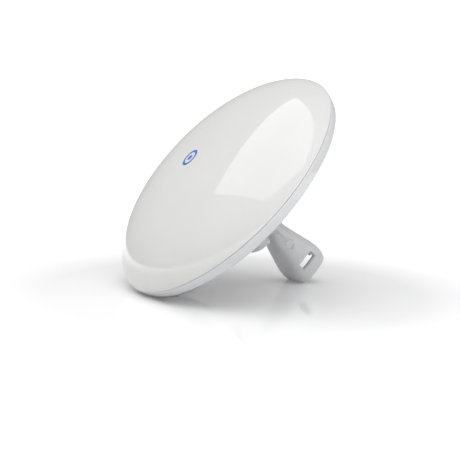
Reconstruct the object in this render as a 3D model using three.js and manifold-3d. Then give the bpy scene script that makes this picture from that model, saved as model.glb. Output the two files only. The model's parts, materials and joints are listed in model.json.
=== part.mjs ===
// Compact outdoor dish radio for point-to-point links, standing on a surface.
// A domed radome closes a shallow bowl that holds the reflector, the feed and the electronics.
// A ball joint behind the bowl carries the hollow pole-mount arm, and a lock nut clamps the ball.
// Millimetres, +Z up, front towards -Y, origin on the surface below the centre of the whole object.

import * as THREE from "three";
import { mergeVertices } from "three/addons/utils/BufferGeometryUtils.js";
import Module from "manifold-3d";

const wasm = await Module();
wasm.setup();

// ---- Driving dimensions -------------------------------------------------------------------

const DISH_RADIUS = 94.5; // at the seam between radome and bowl
const BORESIGHT_RISE = 39.76; // degrees that the radio looks up from level, as it stands
const SEAM_HEIGHT = 76.01; // seam centre above the surface
const SEAM_Y = -11.25; // places the whole object's middle at y = 0

const DOME_HEIGHT = 27.7;
const DOME_POWER = 2.6; // the dome's curve: flat in the middle, steep at the rim
const DOME_ROOT = 0.657;
const RADOME_WALL = 2;
const SEAM_GAP = 0.6;

const BAND_DEPTH = 6.6; // rim band of the bowl, behind the seam
const BAND_REAR_RADIUS = 93.2;
const BAND_INNER_RADIUS = 91.9;
const TONGUE_DEPTH = 3.2; // radome skirt that nests inside the band
const TONGUE_RADIUS = 91.5;
const TONGUE_WALL = 1.7;

const BOWL_CURVE = 0.003482; // depth lost per square millimetre of radius
const BOWL_DEPTH = 37; // outer face at the centre, behind the seam
const BOWL_WALL = 2.4;
const REFLECTOR_GAP = 0.4;
const REFLECTOR_WALL = 0.8;
const REFLECTOR_RADIUS = 88;
const REFLECTOR_HOLE = 30;

const BALL_BACK = 36; // ball centre behind the seam
const BALL_RISE = 2.5; // ball centre above the boresight
const BALL_RADIUS = 16;
const BALL_CLEARANCE = 0.3;
const CUP_WALL = 2.5;
const COLLAR_RADIUS = 25.6;
const COLLAR_BORE = 22.8;
const COLLAR_END = 42.4; // depth where the collar stops
const SEAT_START = 37.2; // depth of the ledge in front of the seat ring
const SEAT_END = 42.4;

const NUT_FRONT = 35.4;
const NUT_REAR = 46.4;
const NUT_RADIUS = 29.4; // round body, which tapers towards the rear
const NUT_TAPER_START = 40.5;
const NUT_REAR_RADIUS = 21.6;
const WING_RADIUS = 37; // three grip wings stand out from the body
const WING_HALF_ANGLE = 13; // degrees
const WING_TURN = -46; // degrees from the dish's +X side to the first wing
const NUT_LIP_RADIUS = 14.2;

const SPINE_HALF_WIDTH = 17.5;
const SPINE_WALL = 2.2;
const EDGE_ROUND = 5.5; // width over which the spine's and cover's long edges round off
const EDGE_DROP = 2.9; // how far those edges fall back from the rear face
const COVER_TOP = 62.4; // distance below the boresight where the port cover starts
const BULKHEAD = 63; // wall that the jack looks through
const BULKHEAD_WALL = 2;
const PORT_HALF_WIDTH = 12.6; // inside of the port compartment
const PORT_WALL = 1.6;
const PORT_FRONT = 13.6; // depth of the compartment's front wall

const BOARD_BACK = 13.2; // rear face of the main board, behind the seam
const BOARD_THICK = 1.6;

const ARM_DROOP = 3; // degrees between arm and boresight, as it stands
const ARM_END = 65; // end face, from the ball centre
const ARM_WALL = 3;
const SLOT_WIDTH = 5.2; // strap slot along the arm, for a 12.7 mm band
const SLOT_HEIGHT = 13.5;
const SLOT_AT = 52.4;
const SLOT_RISE = -1.5;
const TOOTH_PITCH = 4.9; // teeth on the end walls that bite the pole
const TOOTH_DEPTH = 1.8;
const STUB_RADIUS = 5;
const STUB_END = 30;

const RUNNING_GAP = 0.3;
const ROUND = 60; // segments round the dish

// ---- Materials ----------------------------------------------------------------------------

const finish = (color, roughness, metalness = 0) =>
  new THREE.MeshStandardMaterial({ color, roughness, metalness });

const glossWhite = finish(0xe4e5e7, 0.25);
const satinWhite = finish(0xc9cacd, 0.45);
const naturalPlastic = finish(0xd8d8d2, 0.5);
const blackRubber = finish(0x2a2b2d, 0.85);
const greyRubber = finish(0xa9a6a2, 0.8);
const spunAluminium = finish(0xc4c7cb, 0.35, 1);
const tinPlate = finish(0xb9bcc0, 0.4, 1);
const steel = finish(0xa8abaf, 0.35, 1);
const brass = finish(0xc8a24a, 0.3, 1);
const solderMask = finish(0x1f5a3c, 0.55);
const chipBlack = finish(0x1c1d1f, 0.6);
const lensClear = finish(0xdfe6ea, 0.15);
const ledWhite = finish(0xf2f3e8, 0.3);

// ---- Solids -------------------------------------------------------------------------------

function solid(geometry) {
  const bare = new THREE.BufferGeometry();
  const loose = geometry.index ? geometry.toNonIndexed() : geometry;
  bare.setAttribute("position", loose.getAttribute("position"));
  const merged = mergeVertices(bare, 1e-3);
  return new wasm.Manifold(
    new wasm.Mesh({
      numProp: 3,
      vertProperties: new Float32Array(merged.attributes.position.array),
      triVerts: new Uint32Array(merged.index.array),
    }),
  );
}

function geometryOf(manifold) {
  const mesh = manifold.getMesh();
  const geometry = new THREE.BufferGeometry();
  geometry.setAttribute("position", new THREE.BufferAttribute(mesh.vertProperties, mesh.numProp));
  geometry.setIndex(new THREE.BufferAttribute(mesh.triVerts, 1));
  return geometry;
}

const join = (...geometries) =>
  geometryOf(geometries.map(solid).reduce((whole, next) => whole.add(next)));

const cut = (base, ...tools) =>
  geometryOf(tools.map(solid).reduce((whole, tool) => whole.subtract(tool), solid(base)));

// Turns [radius, z] points, anticlockwise, about the Z axis.
function turned(points, segments = ROUND) {
  const outline = points.map(([radius, z]) => new THREE.Vector2(Math.max(radius, 0), z));
  const closed = points[0][0] > 0 || points[points.length - 1][0] > 0;
  if (closed) outline.push(outline[0].clone());
  return new THREE.LatheGeometry(outline, segments).rotateX(Math.PI / 2);
}

const disc = (radius, z0, z1, segments = 24) =>
  turned([[0, z0], [radius, z0], [radius, z1], [0, z1]], segments);

const tube = (inner, outer, z0, z1, segments = 48) =>
  turned([[inner, z0], [outer, z0], [outer, z1], [inner, z1]], segments);

const box = (x0, x1, y0, y1, z0, z1) =>
  new THREE.BoxGeometry(x1 - x0, y1 - y0, z1 - z0)
    .translate((x0 + x1) / 2, (y0 + y1) / 2, (z0 + z1) / 2);

const shapeOf = (points) => new THREE.Shape(points.map(([x, y]) => new THREE.Vector2(x, y)));

// A side outline of [depth behind the seam, height up the dish] points, across the dish's width.
function across(points, halfWidth) {
  const options = { depth: 2 * halfWidth, bevelEnabled: false };
  return new THREE.ExtrudeGeometry(shapeOf(points), options)
    .translate(0, 0, -halfWidth)
    .rotateY(Math.PI / 2);
}

const capOf = (ring) =>
  THREE.ShapeUtils.triangulateShape(ring.map(({ x, y }) => new THREE.Vector2(x, y)), []);

// Closed skin over rings of equal length, each a list of Vector3, going anticlockwise about +Z
// and stacked towards +Z.
function skin(rings) {
  const count = rings[0].length;
  const faces = [];
  for (let row = 0; row + 1 < rings.length; row += 1) {
    for (let step = 0; step < count; step += 1) {
      const here = row * count + step;
      const next = row * count + ((step + 1) % count);
      faces.push(here, next, next + count, here, next + count, here + count);
    }
  }
  const last = (rings.length - 1) * count;
  capOf(rings[0]).forEach(([a, b, c]) => faces.push(a, c, b));
  capOf(rings[rings.length - 1]).forEach((corners) => faces.push(...corners.map((at) => at + last)));
  const geometry = new THREE.BufferGeometry().setFromPoints(rings.flat());
  geometry.setIndex(faces);
  return geometry;
}

// Like across, but towards both sides each point moves by its pull, so that long edges are round.
function crowned(points, pulls, halfWidth) {
  const flat = halfWidth - EDGE_ROUND;
  const stations = [0.2, 0.5, 0.72, 0.88, 1].map((share) => flat + EDGE_ROUND * share);
  const places = [...stations.map((x) => -x).reverse(), -flat, flat, ...stations];
  const ring = (x) => {
    const reach = Math.max(0, Math.abs(x) - flat) / EDGE_ROUND;
    const share = 1 - Math.sqrt(Math.max(0, 1 - reach ** 2));
    return points.map(([depth, height], index) =>
      new THREE.Vector3(depth + pulls[index][0] * share, height + pulls[index][1] * share, x));
  };
  return skin(places.map(ring)).rotateY(Math.PI / 2);
}

const radians = THREE.MathUtils.degToRad;
const steps = (count, make) => Array.from({ length: count + 1 }, (_, index) => make(index / count));

function add(group, name, geometry, material) {
  const mesh = new THREE.Mesh(geometry, material);
  mesh.name = name;
  group.add(mesh);
  return mesh;
}

// ---- Curves shared by several pieces ------------------------------------------------------

// Points of the dome from its rim to its apex, a wall thickness inside the outer face.
function dome(inset, count) {
  const radius = DISH_RADIUS - inset;
  const height = DOME_HEIGHT - inset;
  return steps(count, (part) => {
    const share = Math.cos((part * Math.PI) / 2);
    return [radius * share, height * (1 - share ** DOME_POWER) ** DOME_ROOT];
  });
}

const bowlDepth = (radius, inset) => BOWL_DEPTH - inset - BOWL_CURVE * radius ** 2;

// Points of the bowl's curve from one radius to another, an inset in front of the outer face.
const bowl = (from, to, inset, count) =>
  steps(count, (part) => {
    const radius = from + (to - from) * part;
    return [radius, -bowlDepth(radius, inset)];
  });

// The cover's flat end lies on the surface, so its two corners follow from the rise and height.
const FLOOR_SIN = Math.sin(radians(BORESIGHT_RISE));
const FLOOR_COS = Math.cos(radians(BORESIGHT_RISE));
const restHeight = (depth) => -(SEAM_HEIGHT - FLOOR_SIN * depth) / FLOOR_COS;
const REST_FROM = 11.8; // depth where the cover's flat on the surface starts
const REST_TO = 19.4;

// ---- Radome and rim -----------------------------------------------------------------------

function radome() {
  const skirtInner = TONGUE_RADIUS - TONGUE_WALL;
  return turned([
    [skirtInner, -TONGUE_DEPTH],
    [TONGUE_RADIUS, -TONGUE_DEPTH],
    [TONGUE_RADIUS, 0.3],
    ...dome(0, 13),
    ...dome(RADOME_WALL, 9).reverse().slice(0, -1),
    [skirtInner, 0.6],
  ]);
}

function radomeSeal() {
  const middle = TONGUE_RADIUS - TONGUE_WALL / 2;
  const depth = 4.15;
  const thick = 0.62;
  const corners = 6;
  const section = steps(corners - 1, (part) => {
    const turn = ((part * (corners - 1)) / corners) * 2 * Math.PI;
    return [middle + thick * Math.cos(turn), -depth + thick * Math.sin(turn)];
  });
  return turned(section);
}

// ---- Rear shell ---------------------------------------------------------------------------

function bowlWall() {
  return turned([
    ...bowl(21, 91.6, 0, 7),
    [BAND_REAR_RADIUS - 0.5, -BAND_DEPTH - 0.4],
    [BAND_REAR_RADIUS, -BAND_DEPTH + 0.2],
    [DISH_RADIUS - 0.5, -3],
    [DISH_RADIUS - 0.2, -SEAM_GAP],
    [BAND_INNER_RADIUS, -SEAM_GAP],
    ...bowl(BAND_INNER_RADIUS, 24, BOWL_WALL, 7),
  ]);
}

// Points on a sphere about the ball's centre, by the angle from the boresight.
const ballArc = (radius, from, to, count) =>
  steps(count, (part) => {
    const angle = radians(from + (to - from) * part);
    return [radius * Math.sin(angle), -BALL_BACK + radius * Math.cos(angle)];
  });

function hub() {
  const socket = BALL_RADIUS + BALL_CLEARANCE;
  return turned([
    ...ballArc(socket, 0, 90, 6),
    [socket, -SEAT_START],
    [COLLAR_BORE, -SEAT_START],
    [COLLAR_BORE, -COLLAR_END],
    [COLLAR_RADIUS - 0.8, -COLLAR_END],
    [COLLAR_RADIUS, -COLLAR_END + 0.8],
    [COLLAR_RADIUS, -32.8],
    ...ballArc(socket + CUP_WALL, 78, 0, 5),
  ], 40).translate(0, BALL_RISE, 0);
}

// The spine is a keel on the bowl's rear that makes room for the board, the jack and the cable.
const spineOuter = () => {
  const still = [0, 0];
  const fall = [-EDGE_DROP, 0];
  const outline = [
    [12, -50],
    [15, -COVER_TOP + 0.4],
    [32.3, -COVER_TOP + 0.4],
    [35.8, -39.6],
    [34.6, -37.2],
    [34.6, -20],
    [24, -20],
  ];
  return crowned(outline, [still, still, fall, fall, fall, fall, still], SPINE_HALF_WIDTH);
};

const spineCavity = () =>
  across([
    [8, -31.5],
    [32.2, -31.5],
    [33.2, -40],
    [29.2, -59.8],
    [26.8, -59.8],
    [26.8, -BULKHEAD],
    [8, -BULKHEAD],
  ], SPINE_HALF_WIDTH - SPINE_WALL);

const portBox = () =>
  across([
    [PORT_FRONT - PORT_WALL, -BULKHEAD],
    [27.1, -BULKHEAD],
    [25.2, -67.8],
    [22.8, -72.9],
    [17.9, -79.2],
    [11.4, -83.6],
    [PORT_FRONT - PORT_WALL, -80],
  ], PORT_HALF_WIDTH + PORT_WALL);

const portCavity = () =>
  across([
    [PORT_FRONT, -BULKHEAD - BULKHEAD_WALL],
    [40, -BULKHEAD - BULKHEAD_WALL],
    [40, -86],
    [12.6, -86],
    [PORT_FRONT, -82],
  ], PORT_HALF_WIDTH);

// Board bosses: x, height up the dish, and the depth where each one roots in the shell.
const BOSSES = [[-12, 10, 24], [12, 10, 24], [-12, -28, 32], [12, -28, 32]];
const PILOT_DEPTH = 20;
const JACK = { halfWidth: 8, height: 13, front: -64.7, rear: -44 };
const RESET = { x: -10.6, depth: 16, radius: 1.2 };
const LIGHTS = { x: 11.5, top: -46, bottom: -57, half: 0.9 };

function rearShell() {
  const bosses = BOSSES.map(([x, y, root]) =>
    disc(2.5, -root, -BOARD_BACK - RUNNING_GAP, 12).translate(x, y, 0));
  const pilots = BOSSES.map(([x, y]) =>
    disc(1.4, -PILOT_DEPTH, -BOARD_BACK, 8).translate(x, y, 0));
  const jackWindow = box(
    -JACK.halfWidth - 0.3, JACK.halfWidth + 0.3,
    -BULKHEAD - 3, -BULKHEAD + 1,
    -BOARD_BACK - JACK.height - 0.6, -BOARD_BACK + 0.6,
  );
  const resetHole = disc(RESET.radius + 0.3, -3, 3, 12)
    .rotateX(Math.PI / 2)
    .translate(RESET.x, -BULKHEAD - 1, -RESET.depth);
  const lightWindow = box(
    LIGHTS.x - LIGHTS.half - 0.3, LIGHTS.x + LIGHTS.half + 0.3,
    LIGHTS.bottom - 0.3, LIGHTS.top + 0.3,
    -40, -28,
  );
  const shell = join(bowlWall(), hub(), spineOuter(), portBox(), ...bosses);
  return cut(shell, spineCavity(), portCavity(), jackWindow, resetHole, lightWindow, ...pilots);
}

// The cover closes the spine's lower end. It slides off downwards along the spine.
function portCover() {
  const still = [0, 0];
  const fall = [-EDGE_DROP, 0];
  const lift = [-0.8, 1.7];
  const outline = [
    [10.2, -88.8],
    [REST_FROM, restHeight(REST_FROM)],
    [REST_TO, restHeight(REST_TO)],
    [23, -77.8],
    [26.2, -73.9],
    [28.7, -68.5],
    [32.1, -COVER_TOP],
    [24, -COVER_TOP],
    [22.3, -66.5],
    [17.9, -75],
    [13.9, -82],
  ];
  const pulls = [still, [0, 1.7], lift, fall, fall, fall, fall, still, still, still, still];
  const inner = across([
    [5, -60],
    [5, -86.2],
    [11.4, -86.2],
    [18.5, -80.2],
    [20.8, -77],
    [24, -73],
    [26.4, -68],
    [28.7, -62.6],
    [28.7, -60],
  ], SPINE_HALF_WIDTH - 2.9);
  const outlet = standing(box(-4.2, 4.2, -30, 4.2, -6, 3));
  return cut(crowned(outline, pulls, SPINE_HALF_WIDTH), inner, outlet);
}

const OUTLET_DEPTH = 15.4; // middle of the cable outlet, in the cover's flat end

// Moves a shape built with +Z up to the middle of the cable outlet, so that it stands upright.
const standing = (geometry) =>
  geometry
    .rotateX(radians(BORESIGHT_RISE - 90))
    .translate(0, restHeight(OUTLET_DEPTH), -OUTLET_DEPTH);

const cableGrommet = () => standing(tube(3.1, 3.8, 0.3, 2.1, 20));

// ---- Reflector and feed -------------------------------------------------------------------

function reflector() {
  const rear = BOWL_WALL + REFLECTOR_GAP;
  const pan = turned([
    ...bowl(REFLECTOR_HOLE, REFLECTOR_RADIUS, rear, 5),
    ...bowl(REFLECTOR_RADIUS, REFLECTOR_HOLE, rear + REFLECTOR_WALL, 5),
  ]);
  return cut(pan, box(-19, 19, -100, -20, -60, 10));
}

const BOARD_FRONT = -BOARD_BACK + BOARD_THICK;

const subreflector = () =>
  turned([[0, 13.6], [6, 13.6], [17, 15.2], [17, 16], [6, 14.4], [0, 14.4]], 36);

const feedCap = () => turned([[0, 12.2], [9.5, 12.2], [9.5, 13], [5, 13.3], [0, 13.3]], 24);

function addFeed(group) {
  const foot = BOARD_FRONT + RUNNING_GAP;
  add(group, "feed_tube", tube(8, 9.5, foot, 11.9, 28), naturalPlastic);
  add(group, "feed_board", box(-6, 6, -0.4, 0.4, foot, 10), solderMask);
  [-1, 1].forEach((side) => {
    const name = side < 0 ? "dipole_lower" : "dipole_upper";
    add(group, name, box(-5.4, 5.4, side * 0.85 - 0.15, side * 0.85 + 0.15, 5.5, 7), brass);
  });
  add(group, "feed_cap", feedCap(), naturalPlastic);
  add(group, "subreflector", subreflector(), spunAluminium);
}

// ---- Electronics --------------------------------------------------------------------------

function mainBoard() {
  const holes = BOSSES.map(([x, y]) => disc(1.6, -20, 0, 12).translate(x, y, 0));
  return cut(box(-14.5, 14.5, -61.8, 15, -BOARD_BACK, BOARD_FRONT), ...holes);
}

function shieldCan() {
  const low = BOARD_FRONT + RUNNING_GAP;
  const outer = box(-9, 9, -36, -14, low, low + 3);
  return cut(outer, box(-8.6, 8.6, -35.6, -14.4, low - 1, low + 2.6));
}

function ethernetJack() {
  const top = -BOARD_BACK - RUNNING_GAP;
  const shell = box(-JACK.halfWidth, JACK.halfWidth, JACK.front, JACK.rear, top - JACK.height, top);
  const mouth = box(-5.9, 5.9, JACK.front - 1, JACK.front + 16, top - 10.5, top - 2.2);
  const latchWay = box(-3.1, 3.1, JACK.front - 1, JACK.front + 12, top - 12, top - 10);
  return cut(shell, mouth, latchWay);
}

// Eight spring contacts on one carrier bar inside the jack's mouth.
function jackContacts() {
  const pitch = 1.02;
  const top = -BOARD_BACK - RUNNING_GAP - 2.5;
  const bar = box(-5.2, 5.2, JACK.front + 12.6, JACK.front + 15.5, top - 3, top);
  const fingers = steps(7, (part) => {
    const x = (part - 0.5) * 7 * pitch;
    return box(x - 0.25, x + 0.25, JACK.front + 4, JACK.front + 13, top - 1, top - 0.5);
  });
  return join(bar, ...fingers);
}

function screw(headRadius, headHeight, shankRadius, length) {
  const head = disc(headRadius, 0, headHeight, 16);
  const shank = disc(shankRadius, -length, 0.2, 10);
  const slot = box(-headRadius * 0.6, headRadius * 0.6, -0.25, 0.25, headHeight * 0.5, headHeight + 1);
  const cross = slot.clone().rotateZ(Math.PI / 2);
  return cut(join(head, shank), slot, cross);
}

// Clear strip from the status lights out through the spine's rear face.
const lightPipe = () =>
  across([
    [16, LIGHTS.bottom],
    [33, LIGHTS.bottom],
    [34.7, LIGHTS.top],
    [16, LIGHTS.top],
  ], LIGHTS.half).translate(LIGHTS.x, 0, 0);

function addElectronics(group) {
  const rear = -BOARD_BACK - RUNNING_GAP;
  const front = BOARD_FRONT + RUNNING_GAP;
  add(group, "main_board", mainBoard(), solderMask);
  add(group, "radio_shield", shieldCan(), tinPlate);
  add(group, "radio_chip", box(-4, 4, -29, -21, front, front + 1), chipBlack);
  add(group, "memory_chip", box(-5, 5, -48, -41, front, front + 1), chipBlack);
  add(group, "processor", box(-7, 7, -36, -22, rear - 1.3, rear), chipBlack);
  add(group, "lan_transformer", box(-7, 7, -43.2, -38, rear - 5, rear), chipBlack);
  add(group, "ethernet_jack", ethernetJack(), tinPlate);
  add(group, "jack_contacts", jackContacts(), brass);
  const leds = ["led_power", "led_lan", "led_signal_low", "led_signal_high"];
  leds.forEach((name, index) => {
    const y = LIGHTS.top - 1.5 - (index * 8) / 3;
    const led = box(LIGHTS.x - 0.8, LIGHTS.x + 0.8, y - 0.5, y + 0.5, rear - 0.7, rear);
    add(group, name, led, ledWhite);
  });
  add(group, "light_pipe", lightPipe(), lensClear);
  const resetSwitch = box(RESET.x - 2.4, RESET.x + 2.4, -61.5, -56.5, rear - 4.5, rear);
  add(group, "reset_switch", resetSwitch, chipBlack);
  BOSSES.forEach(([x, y], index) => {
    const piece = screw(2.4, 1.6, 1.1, 8).translate(x, y, BOARD_FRONT + RUNNING_GAP);
    add(group, `board_screw_${index + 1}`, piece, steel);
  });
}

function addResetButton(group) {
  const plunger = disc(RESET.radius, -2, 2, 16)
    .rotateX(Math.PI / 2)
    .translate(RESET.x, -64.4, -RESET.depth);
  add(group, "reset_button", plunger, chipBlack);
}

// ---- Ball joint ---------------------------------------------------------------------------

// Split ring with a spherical seat. It turns with the ball inside the collar.
function seatRing() {
  const seat = BALL_RADIUS + BALL_CLEARANCE;
  const depths = steps(3, (part) => SEAT_START + 0.3 + (SEAT_END - SEAT_START - 0.3) * part);
  const bore = depths.map((depth) => [Math.sqrt(seat ** 2 - (depth - BALL_BACK) ** 2), -depth]);
  const outer = COLLAR_BORE - 0.4;
  const ring = turned([...bore, [outer, -SEAT_END], [outer, -SEAT_START - 0.3]], 36);
  return cut(ring, box(-1, 1, 0, 40, -60, -20));
}

const thrustRing = () =>
  tube(15.2, COLLAR_BORE - 0.4, -SEAT_END - 1.8, -SEAT_END - RUNNING_GAP, 36);

// Hand nut: a round body that tapers to the rear, with three grip wings, a threaded bore
// and a lip that holds the ball in.
function lockNut() {
  const body = turned([
    [0, -NUT_REAR],
    [NUT_REAR_RADIUS - 1, -NUT_REAR],
    [NUT_REAR_RADIUS, -NUT_REAR + 1],
    [NUT_RADIUS, -NUT_TAPER_START],
    [NUT_RADIUS, -NUT_FRONT],
    [0, -NUT_FRONT],
  ], 36);
  const wings = [0, 120, 240].map((turn) => wing().rotateZ(radians(WING_TURN + turn)));
  const threadEnd = -SEAT_END - 2;
  const bore = disc(COLLAR_RADIUS + 0.4, threadEnd, 0, 40);
  const cone = disc(NUT_LIP_RADIUS, -60, -30, 36);
  return cut(join(body, ...wings), bore, cone);
}

// One wing, along +X: two shallow facets meet in an edge along its middle.
function wing() {
  const side = radians(WING_HALF_ANGLE);
  const outline = (reach, z) =>
    [
      [18, -side],
      [reach - 3, -side * 1.05],
      [reach - 0.9, -side * 0.88],
      [reach, 0.05],
      [reach - 0.9, side * 0.88],
      [reach - 3, side * 1.05],
      [18, side],
    ].map(([radius, turn]) =>
      new THREE.Vector3(radius * Math.cos(turn), radius * Math.sin(turn), z));
  return skin([
    outline(WING_RADIUS - 2.2, -NUT_REAR + 0.2),
    outline(WING_RADIUS - 0.7, -NUT_REAR + 0.9),
    outline(WING_RADIUS, -NUT_REAR + 2.4),
    outline(WING_RADIUS, -NUT_FRONT - 0.4),
  ]);
}

// ---- Arm: in its own frame, origin at the ball's centre, +Z out along the arm, +Y up the dish

const sphere = (radius) =>
  turned(steps(10, (part) => {
    const angle = Math.PI * (1 - part);
    return [radius * Math.sin(angle), radius * Math.cos(angle)];
  }), 28);

function ball() {
  const stub = disc(STUB_RADIUS, 10, STUB_END, 24);
  return cut(join(sphere(BALL_RADIUS), stub), disc(1.6, STUB_END - 13, STUB_END + 1, 12));
}

// One rounded ring of the arm: half width, top and bottom heights, and how square it is.
function armRing([along, halfWidth, top, bottom, squareness], inset = 0, count = 28) {
  const middle = (top + bottom) / 2;
  const half = (top - bottom) / 2 - inset;
  const width = halfWidth - inset;
  const power = 2 / squareness;
  return Array.from({ length: count }, (_, index) => {
    const turn = (index / count) * 2 * Math.PI;
    const x = width * Math.sign(Math.cos(turn)) * Math.abs(Math.cos(turn)) ** power;
    const y = middle + half * Math.sign(Math.sin(turn)) * Math.abs(Math.sin(turn)) ** power;
    return new THREE.Vector3(x, y, along);
  });
}

// [along, half width, top, bottom, squareness]
const ARM_RINGS = [
  [14.3, 7.8, 7.8, -7.8, 2],
  [20, 8.6, 8, -8.6, 2.2],
  [25, 9.8, 8.2, -9.8, 2.6],
  [32, 11.4, 9.6, -11.2, 3],
  [43, 13.8, 12.2, -13.2, 3.4],
  [53, 15.4, 14.2, -15.2, 3.8],
  [60, 15.6, 14.2, -15.8, 3.8],
  [63.8, 15, 13.4, -15.6, 3.6],
  [ARM_END, 14, 12.4, -15, 3.4],
];

// Everything below the surface that the radio stands on, in the arm's frame.
function belowSurface() {
  armFrame.updateWorldMatrix(true, false);
  return box(-100, 100, -200, 200, -50, 0).applyMatrix4(armFrame.matrixWorld.clone().invert());
}

function arm() {
  const body = skin(ARM_RINGS.map((ring) => armRing(ring)));
  const hollow = skin([
    ...ARM_RINGS.filter(([along]) => along > STUB_END + 1).map((ring) => armRing(ring, ARM_WALL)),
    armRing([ARM_END + 3, 14, 12.4, -15, 3.4], ARM_WALL),
  ]);
  const stubBore = disc(STUB_RADIUS + RUNNING_GAP, 0, STUB_END + 4, 24);
  const headRoom = disc(7, STUB_END - 0.3, STUB_END + 6, 24);
  const slot = box(
    -30, 30,
    SLOT_RISE - SLOT_HEIGHT / 2, SLOT_RISE + SLOT_HEIGHT / 2,
    SLOT_AT - SLOT_WIDTH / 2, SLOT_AT + SLOT_WIDTH / 2,
  );
  const notches = [-1.5, -0.5, 0.5, 1.5].map((place) =>
    new THREE.CylinderGeometry(TOOTH_DEPTH, TOOTH_DEPTH, 60, 4)
      .translate(place * TOOTH_PITCH, 0, ARM_END));
  const ballRoom = sphere(BALL_RADIUS + 2 * BALL_CLEARANCE);
  return cut(body, ballRoom, hollow, stubBore, headRoom, slot, belowSurface(), ...notches);
}

const ballScrew = () =>
  screw(6.2, 2.2, 1.3, 11).translate(0, 0, STUB_END + RUNNING_GAP);

// ---- Assembly -----------------------------------------------------------------------------

const radio = new THREE.Group();
const dish = new THREE.Group();
dish.position.set(0, SEAM_Y, SEAM_HEIGHT);
dish.rotation.x = radians(90 - BORESIGHT_RISE);
radio.add(dish);

const joint = new THREE.Group();
joint.position.y = BALL_RISE;
dish.add(joint);

// The arm's frame starts at the ball's centre. Its +Z runs out along the arm.
const armFrame = new THREE.Group();
armFrame.position.set(0, BALL_RISE, -BALL_BACK);
armFrame.rotation.set(radians(-ARM_DROOP), Math.PI, 0);
dish.add(armFrame);

add(dish, "radome", radome(), glossWhite);
add(dish, "radome_seal", radomeSeal(), greyRubber);
add(dish, "rear_shell", rearShell(), glossWhite);
add(dish, "reflector", reflector(), spunAluminium);
addFeed(dish);
addElectronics(dish);
addResetButton(dish);
add(dish, "port_cover", portCover(), glossWhite);
add(dish, "cable_grommet", cableGrommet(), blackRubber);
add(joint, "seat_ring", seatRing(), naturalPlastic);
add(joint, "thrust_ring", thrustRing(), steel);
add(joint, "lock_nut", lockNut(), satinWhite);

add(armFrame, "ball", ball(), satinWhite);
add(armFrame, "ball_screw", ballScrew(), steel);
add(armFrame, "arm", arm(), satinWhite);

export default radio;
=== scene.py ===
"""Looks for the outdoor wireless bridge: finer pieces over the CAD frame, materials, light and camera.

The object's own frame is metres, +Z up. Piece outlines are written in millimetres, in four frames:
DISH has +Z along the boresight, +Y up the dish and its origin at the seam's centre. JOINT is the
same with its origin raised to the ball's axis. ARM has +Z out along the arm and its origin at the
ball's centre. STANDING has +Z up and its origin in the cable outlet, on the surface.
"""

import json
import math

import bmesh
import bpy
from mathutils import Matrix, Vector


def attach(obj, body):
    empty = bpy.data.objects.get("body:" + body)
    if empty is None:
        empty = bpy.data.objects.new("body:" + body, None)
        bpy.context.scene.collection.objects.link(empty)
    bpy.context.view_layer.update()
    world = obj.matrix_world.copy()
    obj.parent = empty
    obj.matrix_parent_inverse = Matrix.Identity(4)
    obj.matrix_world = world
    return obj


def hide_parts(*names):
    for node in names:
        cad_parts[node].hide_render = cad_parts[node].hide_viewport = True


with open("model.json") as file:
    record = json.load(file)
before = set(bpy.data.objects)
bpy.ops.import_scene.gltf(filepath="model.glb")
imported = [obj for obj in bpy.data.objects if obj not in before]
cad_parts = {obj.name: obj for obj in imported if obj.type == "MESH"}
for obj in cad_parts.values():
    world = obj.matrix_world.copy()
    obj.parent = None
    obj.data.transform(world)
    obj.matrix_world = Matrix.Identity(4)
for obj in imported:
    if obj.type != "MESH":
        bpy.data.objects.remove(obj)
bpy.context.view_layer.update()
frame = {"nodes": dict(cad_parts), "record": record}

# ---- Dimensions in millimetres, mostly those of the CAD frame -----------------------------------

DISH_RADIUS = 94.5
RISE = math.radians(39.76)  # how far the boresight looks up from level
SEAM = (0.0, -11.25, 76.01)  # the seam's centre, in the object's frame
DOME_HEIGHT = 27.7
DOME_POWER = 2.6
DOME_ROOT = 0.657
DOME_WALL = 2
BOWL_DEPTH = 37.0
BOWL_CURVE = 0.003482
BOWL_WALL = 2.4
BALL_BACK = 36.0  # the ball's centre, behind the seam
BALL_RISE = 2.5
BALL_RADIUS = 16
BALL_ROOM = 16.6
SOCKET_RADIUS = 16.3
CUP_WALL = 2.5
COLLAR_RADIUS = 25.6
COLLAR_BORE = 22.8
COLLAR_END = 42.4
SEAT_START = 37.2
THREAD_ROOT = 25.05
THREAD_PITCH = 1.9
SPINE_HALF_WIDTH = 17.5
EDGE_ROUND = 5.5
EDGE_DROP = 2.9
COVER_TOP = 62.4
COVER_HUG = 1.0
OUTLET_DEPTH = 15.4
GROOVES = 5
RESET_X = -10.6
NUT_FRONT = 35.4
NUT_REAR = 46.4
NUT_RADIUS = 29.4
NUT_REAR_RADIUS = 21.6
NUT_BORE = 26.0
NUT_LIP_RADIUS = 14.2
NUT_LIP_DEPTH = 44.4
WING_HALF_ANGLE = math.radians(13)
WING_TURNS = (-46, 74, 194)
ARM_DROOP = math.radians(3)
ARM_WALL = 3.0
SLOT_AT = 52.4
SLOT_WIDTH = 5.2
SLOT_HEIGHT = 13.5
SLOT_RISE = -1.5
SLOT_CORNER = 0.5
STUB_BORE = 5.3
HEAD_SEAT = 29.7  # where the room for the screw's head starts, along the arm
HEAD_ROOM = 7
TOOTH_PITCH = 4.9
TOOTH_HALF_GAP = 2.4
BEAD_RISE = -1.35
BEAD_START = 20.8
DISC_AT = 33.35
DISC_RISE = -2.65
DISC_RING = 3.6

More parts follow.
